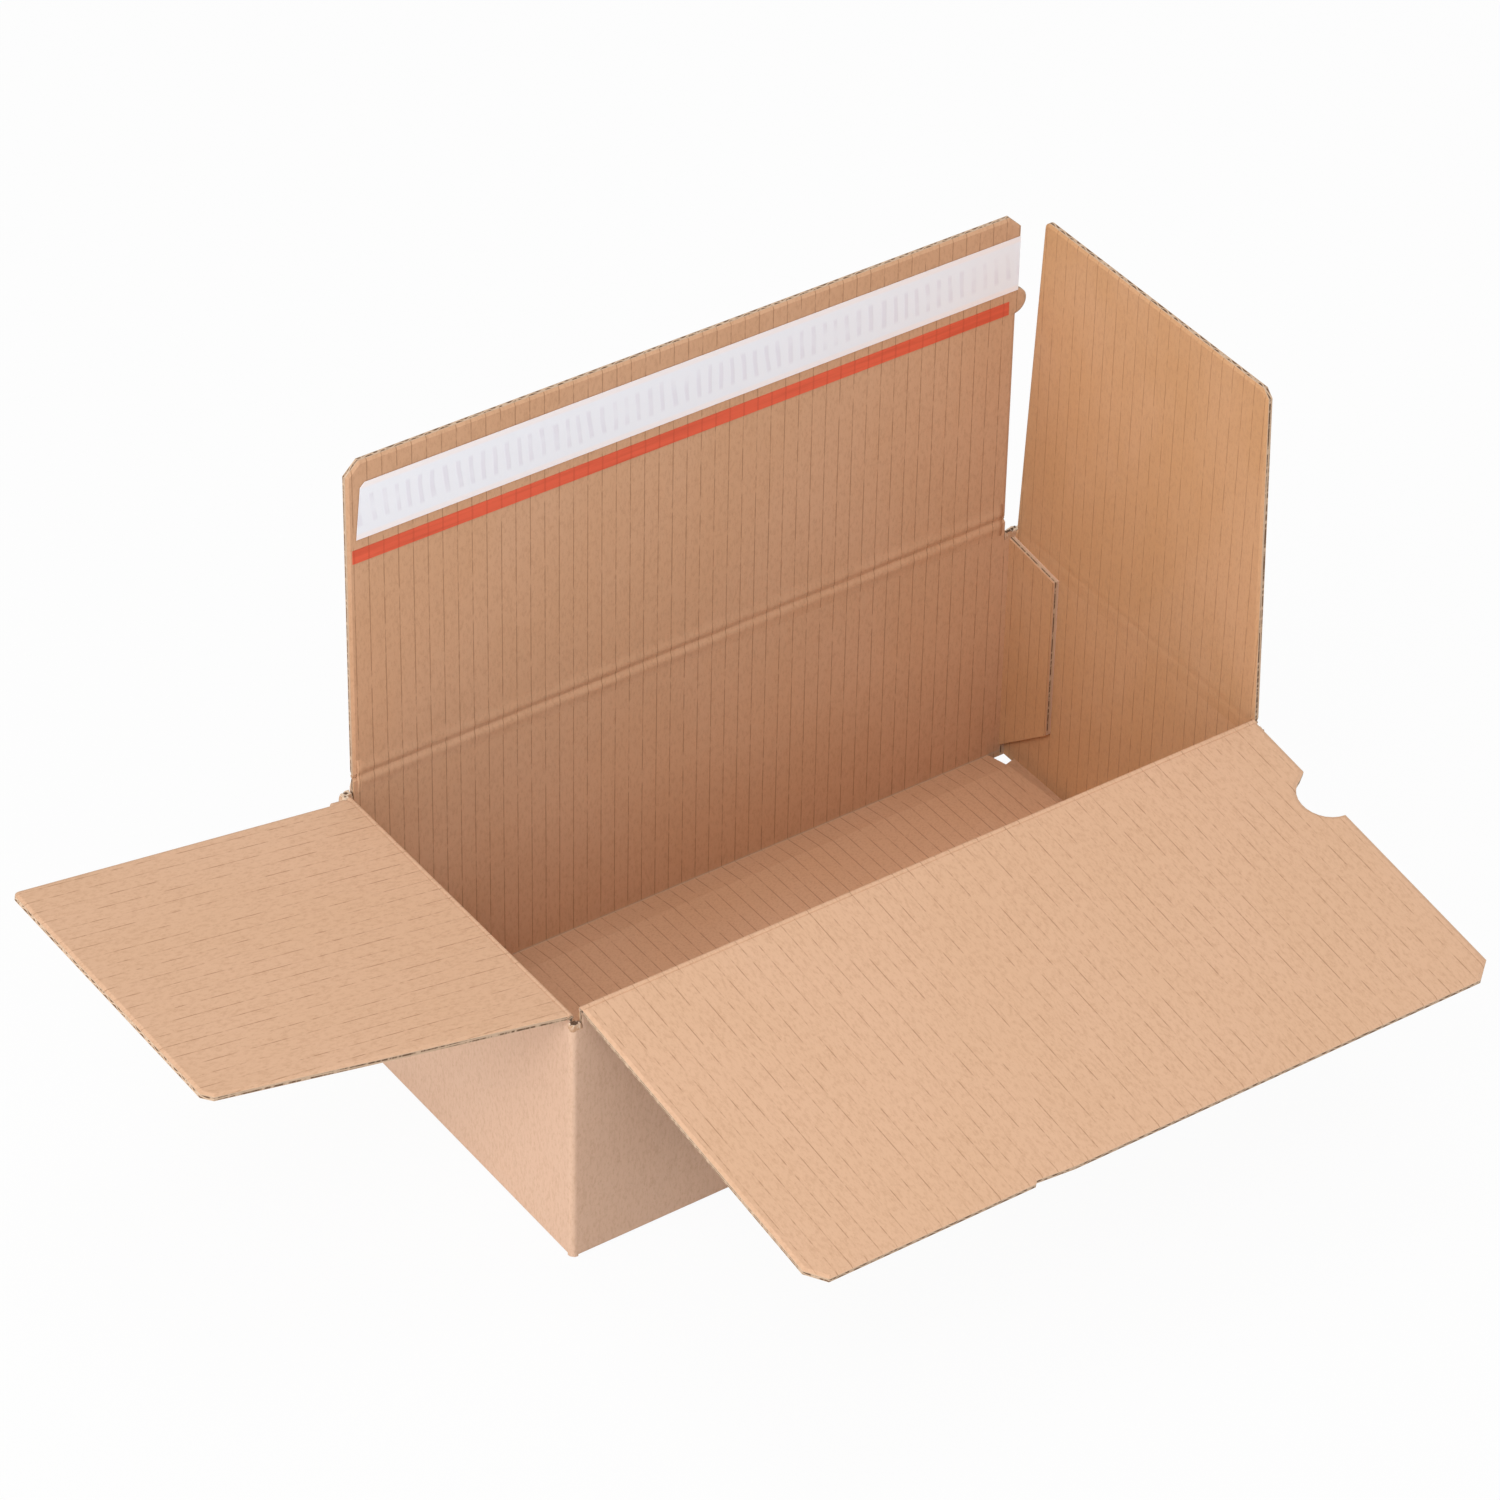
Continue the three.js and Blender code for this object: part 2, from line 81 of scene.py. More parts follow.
class Side(Enum):
    """The four sides of the carton, as quarter turns from the front one."""

    FRONT = 0
    RIGHT = 1
    REAR = 2
    LEFT = 3

    def flap(self) -> str:
        """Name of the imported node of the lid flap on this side."""
        return self.name.lower() + "_flap"


class Face(Enum):
    """The two faces of the board, as directions outward from mid-board."""

    INNER = -1
    OUTER = 1


@dataclass(frozen=True)
class Board:
    """The corrugated board that the whole carton is cut from.

    Attributes:
        thickness: From face to face.
        cut_edge: Thickness where the cutting die has crushed its edges.
        flute_pitch: From one flute to the next.
    """

    thickness: float = 2.8 * MM
    cut_edge: float = 1.6 * MM
    flute_pitch: float = 6.27 * MM


@dataclass(frozen=True)
class Walls:
    """The carton's walls: from the middle of the box to mid-board.

    Attributes:
        half_length: To the left and right walls.
        half_width: To the front and rear walls.
    """

    half_length: float
    half_width: float


@dataclass(frozen=True)
class Fold:
    """A crease line: where a lid flap turns on its wall.

    Attributes:
        side: The wall that the flap hangs on.
        pivot: Middle of the crease, at mid-board.
        opening: Degrees that the flap stands out from upright at rest.
        low: Crease end on the left, seen from outside the box.
        high: Crease end on the right, seen from outside the box.
    """

    side: Side
    pivot: Vector
    opening: float
    low: float
    high: float

    def placement(self) -> Matrix:
        """The transform to the frame from X along the crease, Y up the flap and Z outward."""
        turn = math.pi / 2 * self.side.value
        tilt = math.pi / 2 + math.radians(self.opening)
        return Matrix.Translation(self.pivot) @ Euler((tilt, 0, turn)).to_matrix().to_4x4()


@dataclass(frozen=True)
class Relief:
    """How deep a finish's bump looks.

    Attributes:
        strength: Its strength.
        distance: Its depth.
    """

    strength: float
    distance: float


class NodeBench:
    """Adds shader nodes to one material or world, with a short call for each kind."""

    def __init__(self, block: bpy.types.Material | bpy.types.World) -> None:
        """Start with no nodes.

        Args:
            block: The material or world.
        """
        self.block = block
        block.use_nodes = True
        self.tree = block.node_tree
        self.tree.nodes.clear()

    @classmethod
    def for_material(cls, name: str) -> NodeBench:
        """Start a new material."""
        return cls(bpy.data.materials.new(name))

    def add(self, kind: str, **settings: object) -> bpy.types.Node:
        """Add a node.

        Args:
            kind: Blender's node type, without the ShaderNode prefix.
            **settings: Properties to set on it.

        Returns:
            The new node.
        """
        node = self.tree.nodes.new("ShaderNode" + kind)
        for name, value in settings.items():
            setattr(node, name, value)
        return node

    def link(self, source: Input, target: bpy.types.NodeSocket) -> None:
        """Feed a socket or a plain value into an input."""
        if isinstance(source, bpy.types.NodeSocket):
            self.tree.links.new(source, target)
        else:
            target.default_value = source

    def math(self, operation: str, *values: Input) -> bpy.types.NodeSocket:
        """Add a Math node.

        Args:
            operation: Its operation.
            *values: Sockets or numbers for its inputs.

        Returns:
            Its output.
        """
        node = self.add("Math", operation=operation)
        for value, target in zip(values, node.inputs):
            self.link(value, target)
        return node.outputs[0]

    def times(self, *values: Input) -> bpy.types.NodeSocket:
        """The product of sockets and numbers."""
        return reduce(lambda first, second: self.math("MULTIPLY", first, second), values)

    def plus(self, *values: Input) -> bpy.types.NodeSocket:
        """The sum of sockets and numbers."""
        return reduce(lambda first, second: self.math("ADD", first, second), values)

    def minus(self, first: Input, second: Input) -> bpy.types.NodeSocket:
        """The difference of two sockets or numbers."""
        return self.math("SUBTRACT", first, second)

    def size(self, value: Input) -> bpy.types.NodeSocket:
        """A number without its sign."""
        return self.math("ABSOLUTE", value)

    def blend(self, factor: Input, low: Input, high: Input) -> bpy.types.NodeSocket:
        """Mix two colours.

        Args:
            factor: Share of the second colour.
            low: First colour.
            high: Second colour.

        Returns:
            The mixed colour.
        """
        node = self.add("Mix", data_type="RGBA")
        for value, target in ((factor, node.inputs[0]), (low, node.inputs[6]), (high, node.inputs[7])):
            self.link(value, target)
        return node.outputs[2]

    def mix(self, factor: Input, low: Input, high: Input) -> bpy.types.NodeSocket:
        """Mix two numbers.

        Args:
            factor: Share of the second number.
            low: First number.
            high: Second number.

        Returns:
            The mixed number.
        """
        node = self.add("Mix", data_type="FLOAT")
        for value, target in ((factor, node.inputs[0]), (low, node.inputs[2]), (high, node.inputs[3])):
            self.link(value, target)
        return node.outputs[0]

    def ramp(self, value: Input, low: float, high: float) -> bpy.types.NodeSocket:
        """A smooth step from 0 at low to 1 at high, or down where high is the lower.

        Args:
            value: What is compared.
            low: Where it is 0.
            high: Where it is 1.

        Returns:
            The step.
        """
        node = self.add("MapRange", interpolation_type="SMOOTHSTEP", clamp=True)
        for number, target in zip((value, low, high, 0.0, 1.0), node.inputs):
            self.link(number, target)
        return node.outputs[0]

    def noise(
        self, vector: Input, grain: tuple, detail: float = 2.0, roughness: float = 0.5
    ) -> bpy.types.NodeSocket:
        """Noise centred on a half.

        Args:
            vector: Where it is read.
            grain: How fine it is along each axis, in cells for each unit of the vector.
            detail: Its octaves.
            roughness: How strong the fine octaves are.

        Returns:
            The noise value.
        """
        stretched = self.add("Mapping")
        self.link(vector, stretched.inputs["Vector"])
        stretched.inputs["Scale"].default_value = grain
        node = self.add("TexNoise", noise_dimensions="3D")
        self.link(stretched.outputs[0], node.inputs["Vector"])
        node.inputs["Scale"].default_value = 1.0
        node.inputs["Detail"].default_value = detail
        node.inputs["Roughness"].default_value = roughness
        return node.outputs[0]

    def split(self, vector: Input) -> tuple:
        """The X, Y and Z of a vector."""
        node = self.add("SeparateXYZ")
        self.link(vector, node.inputs[0])
        return tuple(node.outputs)

    def join(self, x: Input, y: Input, z: Input) -> bpy.types.NodeSocket:
        """A vector from its X, Y and Z."""
        node = self.add("CombineXYZ")
        for value, target in zip((x, y, z), node.inputs):
            self.link(value, target)
        return node.outputs[0]

    def place(self) -> bpy.types.NodeSocket:
        """Object coordinates."""
        return self.add("TexCoord").outputs["Object"]

    def facing(self) -> tuple:
        """The X, Y and Z of the direction that the surface faces."""
        return self.split(self.add("TexCoord").outputs["Normal"])

    def surface(
        self, colour: Input, roughness: float, height: Input, relief: Relief, specular: float = 0.5
    ) -> bpy.types.Material:
        """Close the material with a bumpy surface.

        Args:
            colour: Its colour.
            roughness: How matt it is.
            height: Height for its bump.
            relief: How deep the bump looks.
            specular: How strongly it reflects.

        Returns:
            The material.
        """
        shader = self.add("BsdfPrincipled")
        self.link(colour, shader.inputs["Base Color"])
        shader.inputs["Roughness"].default_value = roughness
        shader.inputs["Specular IOR Level"].default_value = specular
        bump = self.add("Bump")
        bump.inputs["Strength"].default_value = relief.strength
        bump.inputs["Distance"].default_value = relief.distance
        self.link(height, bump.inputs["Height"])
        self.link(bump.outputs[0], shader.inputs["Normal"])
        return self.finish(shader.outputs[0])

    def finish(self, shader: Input, output: str = "OutputMaterial") -> bpy.types.Material | bpy.types.World:
        """Close the material or world.

        Args:
            shader: The shader that it ends in.
            output: Its kind of output node.

        Returns:
            The material or world.
        """
        self.link(shader, self.add(output).inputs["Surface"])
        return self.block


@dataclass(frozen=True)
class Mottle:
    """Patches that noise makes, such as clouds, fibres or flecks.

    Attributes:
        grain: How fine they are along each axis, in cells for each unit of the vector.
        start: Noise value where a patch starts.
        full: Noise value where it is whole.
        share: How far a whole patch shows.
        detail: Octaves of the noise.
        roughness: How strong its fine octaves are.
    """

    grain: tuple[float, float, float]
    start: float
    full: float
    share: float = 1.0
    detail: float = 2.0
    roughness: float = 0.5

    def noise(self, bench: NodeBench, vector: Input) -> bpy.types.NodeSocket:
        """The noise itself."""
        return bench.noise(vector, self.grain, self.detail, self.roughness)

    def patches(self, bench: NodeBench, vector: Input) -> bpy.types.NodeSocket:
        """How far a patch shows."""
        return bench.times(bench.ramp(self.noise(bench, vector), self.start, self.full), self.share)


def srgb(red: int, green: int, blue: int) -> Colour:
    """A colour as Blender's shaders hold it.

    Args:
        red: Red, 0 to 255.
        green: Green, 0 to 255.
        blue: Blue, 0 to 255.

    Returns:
        The linear colour with an alpha of 1.
    """
    def linear(value: int) -> float:
        """One channel, without the screen's gamma."""
        share = value / 255
        return share / 12.92 if share <= 0.04045 else ((share + 0.055) / 1.055) ** 2.4

    return (linear(red), linear(green), linear(blue), 1.0)


@dataclass(frozen=True)
class Sheet:
    """Sockets that say where a point lies on a panel.

    Attributes:
        along: Distance across the flutes.
        up: Distance along the flutes.
        depth: Distance outward from mid-board.
        square: 1 where a cut edge can show.
        side: 1 on faces that face along X, such as the side walls, whose inner liner gets a painted shade
            tone.
    """

    along: Input
    up: Input
    depth: Input
    square: Input = 1.0
    side: Input = 0.0


@dataclass(frozen=True)
class KraftFinish:
    """Brown kraft liner over corrugated board.

    Attributes:
        inside: Colour of the inner liner.
        side: Painted shade: a darker, yellower tone of the inner liner on faces that face along X, such as
            the side walls.
        outside: Colour of the outer liner.
        bloom: Paler colour of its soft clouds.
        fibre: Colour of its darker fibres.
        line: Colour of the thin lines over the flutes.
        pulp: Colour of the torn paper at a cut edge, also the colour of the painted highlight at the walls'
            foot.
        hole_shade: Painted shade inside an open flute.
        line_strength: How far the flute lines show.
        line_breaks: 0 for unbroken lines, 1 for lines that mostly fade out.
        outer_lines: How far the lines show on the outer liner, beside the inner one.
        clouds: Where the bloom lies.
        fibres: Where the long fibres lie.
        flecks: Where the short fibres lie.
        tears: Where a cut edge is torn open.
        board: The board under it.
    """

    inside: Colour = srgb(204, 161, 127)
    side: Colour = srgb(196, 150, 108)
    outside: Colour = srgb(211, 178, 154)
    bloom: Colour = srgb(214, 175, 148)
    fibre: Colour = srgb(162, 120, 88)
    line: Colour = srgb(138, 98, 68)
    pulp: Colour = srgb(196, 168, 142)
    hole_shade: Colour = srgb(106, 80, 60)
    line_strength: float = 0.62
    line_breaks: float = 0.5
    outer_lines: float = 0.06
    clouds: Mottle = Mottle((14, 9, 14), 0.35, 0.7, 0.25, 4.0, 0.55)
    fibres: Mottle = Mottle((1100, 420, 1100), 0.42, 0.75, 0.3, 3.0, 0.65)
    flecks: Mottle = Mottle((800, 800, 800), 0.66, 0.78, 0.3, 2.0, 0.6)
    tears: Mottle = Mottle((420, 420, 0), 0.36, 0.55, 1.0, 2.0, 0.6)
    board: Board = Board()

    def for_carton(self, walls: Walls) -> bpy.types.Material:
        """Build the finish for the walls, the glue flap and the base.

        Args:
            walls: The four walls.

        Returns:
            The material.
        """
        bench = NodeBench.for_material("kraft_carton")
        place = bench.place()
        sheet = self.wall_sheet(bench, place, walls)
        colour, height = self.liner(bench, sheet)
        # the walls get a painted highlight along their foot
        return self.coat(bench, sheet, self.foot_highlight(bench, place, walls, colour), height)

    def for_flap(self, name: str, fold: Fold) -> bpy.types.Material:
        """Build the finish for a lid flap.

        Args:
            name: The material's name.
            fold: The flap's crease.

        Returns:
            The material.
        """
        bench = NodeBench.for_material(name)
        sheet = self.flap_sheet(bench, fold)
        return self.coat(bench, sheet, *self.liner(bench, sheet))

    def for_bend(self, name: str) -> bpy.types.Material:
        """Build the finish for a piece that bends, which carries its place on the flat board.

        Args:
            name: The material's name.

        Returns:
            The material.
        """
        bench = NodeBench.for_material(name)
        carried = bench.add("Attribute", attribute_name=SHEET_PLACE)
        sheet = Sheet(*bench.split(carried.outputs["Vector"]))
        return self.coat(bench, sheet, *self.liner(bench, sheet))

    def flap_sheet(self, bench: NodeBench, fold: Fold) -> Sheet:
        """Where a point lies on a lid flap.

        Args:
            bench: The material being built.
            fold: The flap's crease.

        Returns:
            The sockets.
        """
        turned = bench.add("Mapping", vector_type="TEXTURE")
        bench.link(bench.place(), turned.inputs["Vector"])
        placement = fold.placement()
        turned.inputs["Location"].default_value = placement.translation
        turned.inputs["Rotation"].default_value = placement.to_euler()
        return Sheet(*bench.split(turned.outputs[0]))

    def wall_sheet(self, bench: NodeBench, place: Input, walls: Walls) -> Sheet:
        """Where a point lies on the walls, the glue flap or the base.

        Args:
            bench: The material being built.
            place: Object coordinates.
            walls: The four walls.

        Returns:
            The sockets.
        """
        faces_axis = 0.6  # share of the normal along the axis that a face is taken to face
        most_lean = 0.2  # a face that leans more shows no cut edge
        base_top = 50 * MM  # the base lies below, the glue flap's level edges above
        underside = 0.4 * MM
        off_wall = 0.06 * MM  # keeps the wall's own inner face out of the glue flap
        thickness = self.board.thickness
        x, y, z = bench.split(place)
        facing = [bench.size(part) for part in bench.facing()]
        # faces along X: their flutes are placed along Y, and their inner liner takes the painted shade tone
        side = bench.math("GREATER_THAN", facing[0], faces_axis)
        level = bench.math("GREATER_THAN", facing[2], faces_axis)
        x_out = bench.minus(bench.size(x), walls.half_length)
        y_out = bench.minus(bench.size(y), walls.half_width)
        past_wall = bench.minus(x, walls.half_length)
        pasted = bench.math("COMPARE", past_wall, -thickness - off_wall, thickness / 2)
        in_base = bench.times(level, bench.math("LESS_THAN", z, base_top))
        pasted = bench.times(pasted, bench.minus(1.0, in_base))
        x_out = bench.plus(x_out, bench.times(pasted, thickness))
        under = bench.times(bench.math("LESS_THAN", z, underside), level)
        depth = bench.plus(bench.math("MAXIMUM", x_out, y_out), under)
        leaning = bench.plus(*(bench.times(facing[a], facing[b]) for a, b in ((0, 2), (1, 2), (0, 1))))
        square = bench.math("LESS_THAN", leaning, most_lean)
        return Sheet(bench.mix(side, x, y), bench.mix(level, z, y), depth, square, side)

    def liner(self, bench: NodeBench, sheet: Sheet) -> tuple:
        """Colour and height of the liner paper, with the flutes showing through.

        Args:
            bench: The material being built.
            sheet: Where the point lies.

        Returns:
            The colour and the height for the bump.
        """
        turnover = 0.2 * MM  # the outer liner gives way to the inner one this near mid-board
        flute_rise, fibre_rise, line_dip = 0.22, 0.8, 0.9  # shares of the bump's height
        point = bench.join(sheet.along, sheet.up, sheet.depth)
        inner = bench.ramp(sheet.depth, turnover, -turnover)
        turns = self.flute_turns(bench, point, sheet)
        visible = bench.plus(bench.times(inner, 1 - self.outer_lines), self.outer_lines)
        shown = bench.times(self.flute_lines(bench, turns, sheet), visible)
        # the inner liner takes the painted shade tone where it faces along X
        paper = bench.blend(inner, self.outside, bench.blend(sheet.side, self.inside, self.side))
        paper = bench.blend(self.clouds.patches(bench, point), paper, self.bloom)
        paper = bench.blend(self.fibres.patches(bench, point), paper, self.fibre)
        paper = bench.blend(self.flecks.patches(bench, point), paper, self.fibre)
        colour = bench.blend(shown, paper, self.line)
        ripple = bench.math("COSINE", bench.times(turns, 2 * math.pi))
        rough = bench.times(self.fibres.noise(bench, point), fibre_rise)
        height = bench.plus(bench.times(ripple, flute_rise), rough)
        return colour, bench.minus(height, bench.times(shown, line_dip))

    def flute_turns(self, bench: NodeBench, point: Input, sheet: Sheet) -> bpy.types.NodeSocket:
        """How many flutes lie between the middle and a point, with a slight wander.

        Args:
            bench: The material being built.
            point: The point on the sheet.
            sheet: Where it lies.

        Returns:
            The number of flutes.
        """
        drift = 0.035  # share of the pitch
        wander = bench.times(bench.minus(bench.noise(point, (40, 14, 0)), 0.5), drift)
        return bench.plus(bench.math("DIVIDE", sheet.along, self.board.flute_pitch), wander)

    def flute_lines(self, bench: NodeBench, turns: Input, sheet: Sheet) -> bpy.types.NodeSocket:
        """The thin broken lines over the flutes.

        Args:
            bench: The material being built.
            turns: How many flutes lie between the middle and the point.
            sheet: Where the point lies.

        Returns:
            How far a line shows.
        """
        off_line, on_line = 0.045, 0.012  # distance from the line, as a share of the pitch
        fade = 0.22
        row_grain = (3.71, 90, 0)  # each line breaks in places of its own
        phase = bench.size(bench.minus(bench.math("FRACT", turns), 0.5))
        line = bench.ramp(phase, off_line, on_line)
        row = bench.join(bench.math("FLOOR", turns), sheet.up, 0.0)
        low = 0.2 + 0.3 * self.line_breaks
        dash = bench.ramp(bench.noise(row, row_grain, 3.0, 0.7), low, low + fade)
        return bench.times(line, dash, self.line_strength)

    def foot_highlight(self, bench: NodeBench, place: Input, walls: Walls, colour: Input) -> bpy.types.NodeSocket:
        """A painted highlight: a pale line where the front and rear walls turn into the base.

        Args:
            bench: The material being built.
            place: Object coordinates.
            walls: The four walls.
            colour: The liner's colour.

        Returns:
            The colour with the painted highlight on it.
        """
        _, y, z = bench.split(place)
        from_wall = bench.size(bench.minus(bench.size(y), walls.half_width - self.board.thickness / 2))
        from_base = bench.size(bench.minus(z, self.board.thickness))
        rough = bench.times(bench.noise(place, (90, 0, 0), 3.0), 0.8 * MM)
        # painted highlight: pale along the inner foot of the front and rear walls
        line = bench.ramp(bench.plus(from_wall, from_base, rough), 1.3 * MM, 0.7 * MM)
        return bench.blend(bench.times(line, 0.7), colour, self.pulp)

    def cut_edge(self, bench: NodeBench, sheet: Sheet) -> bpy.types.NodeSocket:
        """Colour of a cut edge: torn paper with painted shade in the open mouths of the flutes.

        Args:
            bench: The material being built.
            sheet: Where the point lies.

        Returns:
            The colour.
        """
        flute_swing = 0.45 * MM  # how far the wavy middle sheet swings from mid-board
        angle = bench.times(sheet.along, 2 * math.pi / self.board.flute_pitch)
        medium = bench.times(bench.math("SINE", angle), flute_swing)
        open_flute = bench.ramp(bench.size(bench.minus(sheet.depth, medium)), 0.2 * MM, 0.38 * MM)
        between_liners = bench.ramp(bench.size(sheet.depth), 0.68 * MM, 0.54 * MM)
        torn = self.tears.patches(bench, bench.join(sheet.along, sheet.up, 0.0))
        # painted shade in the flutes that a torn cut edge leaves open
        dark = bench.times(open_flute, between_liners, torn)
        return bench.blend(dark, self.pulp, self.hole_shade)

    def coat(self, bench: NodeBench, sheet: Sheet, colour: Input, height: Input) -> bpy.types.Material:
        """Add the cut edges and close the material.

        Args:
            bench: The material being built.
            sheet: Where the point lies.
            colour: The liner's colour.
            height: The liner's height for the bump.

        Returns:
            The material.
        """
        crushed = self.board.cut_edge / 2
        edge = bench.times(bench.ramp(bench.size(sheet.depth), crushed + 0.1 * MM, crushed), sheet.square)
        tone = bench.blend(edge, colour, self.cut_edge(bench, sheet))
        return bench.surface(tone, 0.88, height, Relief(0.55, 0.12 * MM), specular=0.25)


@dataclass(frozen=True)
class PaperFinish:
    """White release paper, with the stripes of the glue showing through.

    Attributes:
        middle: Height of the strip's middle.
        band: Half the height of the striped band.
        colour: The paper.
        stripe: The faint stripes.
        border: The warmer band along its edges.
        pitch: From one stripe to the next.
        slant: How far the stripes lean.
        glue: Where the stripes show.
    """

    middle: float
    band: float
    colour: Colour = srgb(240, 246, 255)
    stripe: Colour = srgb(212, 208, 226)
    border: Colour = srgb(250, 240, 238)
    pitch: float = 5.2 * MM
    slant: float = 0.08
    glue: Mottle = Mottle((45, 22, 60), 0.3, 0.55)

    def make(self, name: str) -> bpy.types.Material:
        """Build the finish.

        Args:
            name: The material's name.

        Returns:
            The material.
        """
        bench = NodeBench.for_material(name)
        place = bench.place()
        x, _, z = bench.split(place)
        from_middle = bench.size(bench.minus(z, self.middle))
        ragged = bench.times(bench.noise(place, (90, 90, 90)), 3 * MM)
        inside = bench.ramp(bench.plus(from_middle, ragged), self.band + 2 * MM, self.band)
        turns = bench.times(bench.plus(x, bench.times(z, self.slant)), 2 * math.pi / self.pitch)
        drift = bench.times(bench.noise(place, (60, 60, 30)), 6.0)
        rib = bench.math("SINE", bench.plus(turns, drift))
        stripes = bench.times(bench.ramp(rib, 0.0, 0.9), inside, self.glue.patches(bench, place))
        edge = bench.ramp(from_middle, self.band + 2.5 * MM, self.band + 4 * MM)
        tone = bench.blend(bench.times(stripes, 0.32), self.colour, self.stripe)
        tone = bench.blend(bench.times(edge, 0.6), tone, self.border)
        return bench.surface(tone, 0.42, stripes, Relief(0.4, 0.1 * MM))


@dataclass(frozen=True)
class TapeFinish:
    """Thin tape that shows the board's flute lines through it.

    Attributes:
        colour: The tape.
        shade: Its darker streaks.
        roughness: How matt it is.
        marks: How far the flute lines show.
        streaks: Where the darker streaks lie.
        board: The board under the tape.
    """

    colour: Colour
    shade: Colour
    roughness: float
    marks: float
    streaks: Mottle = Mottle((18, 30, 420), 0.4, 0.7, 0.5, 3.0, 0.55)
    board: Board = Board()

    def make(self, name: str) -> bpy.types.Material:
        """Build the finish.

        Args:
            name: The material's name.

        Returns:
            The material.
        """
        bench = NodeBench.for_material(name)
        place = bench.place()
        tone = bench.blend(self.streaks.patches(bench, place), self.colour, self.shade)
        turns = bench.math("DIVIDE", bench.split(place)[0], self.board.flute_pitch)
        phase = bench.size(bench.minus(bench.math("FRACT", turns), 0.5))
        line = bench.times(bench.ramp(phase, 0.09, 0.02), self.marks)
        tone = bench.blend(line, tone, self.shade)
        return bench.surface(tone, self.roughness, bench.minus(1.0, line), Relief(0.5, 0.1 * MM))


@dataclass(frozen=True)
class TornFinish:
    """Torn and crumpled board at the rim corners.

    Attributes:
        paper: The outer liner.
        pulp: The torn paper.
        hole_shade: Painted shade in its gaps.
        fluff: Its loose fibres.
        shaded_gaps: Where the painted shade in its gaps lies.
        upturn: How much more is torn where the board faces up.
    """

    paper: Colour = srgb(190, 150, 118)
    pulp: Colour = srgb(214, 190, 166)
    hole_shade: Colour = srgb(92, 68, 50)
    fluff: Mottle = Mottle((900, 900, 500), 0.52, 0.75, 1.0, 3.0, 0.7)
    shaded_gaps: Mottle = Mottle((420, 420, 160), 0.54, 0.6, 1.0, 1.0)
    upturn: float = 0.35

    def make(self, name: str) -> bpy.types.Material:
        """Build the finish.

        Args:
            name: The material's name.

        Returns:
            The material.
        """
        bench = NodeBench.for_material(name)
        place = bench.place()
        upward = bench.facing()[2]
        fluff = self.fluff.noise(bench, place)
        raised = bench.plus(fluff, bench.times(upward, self.upturn))
        torn = bench.ramp(raised, self.fluff.start, self.fluff.full)
        # painted shade in the gaps of the torn board, where it faces up
        dark = bench.times(self.shaded_gaps.patches(bench, place), bench.ramp(upward, 0.2, 0.6))
        tone = bench.blend(dark, bench.blend(torn, self.paper, self.pulp), self.hole_shade)
        return bench.surface(tone, 0.95, fluff, Relief(0.7, 0.2 * MM))


def give_finish(frame: dict, node: str, material: bpy.types.Material) -> None:
    """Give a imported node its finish.

    Args:
        frame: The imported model.
        node: The node's name.
        material: The finish.
    """
    data = frame["nodes"][node].data
    data.materials.clear()
    data.materials.append(material)
    LOG.info("dressed %s", node)


def mesh_object(
    name: str, mesh: bmesh.types.BMesh, material: bpy.types.Material, smooth: bool = False
) -> bpy.types.Object:
    """Turn a bmesh into a piece.

    Args:
        name: The piece's name.
        mesh: Its mesh, which is freed.
        material: Its finish.
        smooth: Whether its faces are shaded smooth.

    Returns:
        The new object, at the origin.
    """
    bmesh.ops.recalc_face_normals(mesh, faces=mesh.faces)
    for face in mesh.faces:
        face.smooth = smooth
    data = bpy.data.meshes.new(name)
    mesh.to_mesh(data)
    mesh.free()
    data.materials.append(material)
    piece = bpy.data.objects.new(name, data)
    bpy.context.scene.collection.objects.link(piece)
    LOG.info("built %s", name)
    return piece


@dataclass(frozen=True)
class ScoreShape:
    """Section of the board's face across a score line.

    Attributes:
        swell: How far the board swells beside the line.
        reach: Half the width of the pressed band.
        groove_width: Width of the pressed groove.
        groove_depth: Its depth, as a share of the swell.
        swell_place: From the line to the top of the swell.
        swell_width: Width of the swell.
        lift: How far the pressed liner lies above the board's face.
        sink: How far its rim dips back to the face.
        flat_share: Share of the reach where the rim starts to dip.
    """

    swell: float
    reach: float = 8 * MM
    groove_width: float = 1.4 * MM
    groove_depth: float = 0.9
    swell_place: float = 3 * MM
    swell_width: float = 2.2 * MM
    lift: float = 0.03 * MM
    sink: float = 0.06 * MM
    flat_share: float = 0.85

    def height(self, along: float, up: float) -> float:
        """How far the pressed liner stands off the board's face.

        Args:
            along: Distance along the crease.
            up: Distance up from the crease.

        Returns:
            The height, below 0 in the pressed groove.
        """
        wander = 0.1 * math.sin(along / (9 * MM)) + 0.06 * math.sin(along / (3.7 * MM) + 1)
        uneven = 1 + 0.2 * math.sin(along / (23 * MM)) + 0.15 * math.sin(along / (7.3 * MM) + 2)
        groove = self.groove_depth * self.swell * math.exp(-((up / self.groove_width - wander) ** 2))
        beside = (abs(up) - self.swell_place) / self.swell_width
        swell = self.swell * uneven * math.exp(-(beside ** 2))
        rim = max(0.0, abs(up) / self.reach - self.flat_share) / (1 - self.flat_share)
        return self.lift + swell - groove - self.sink * rim


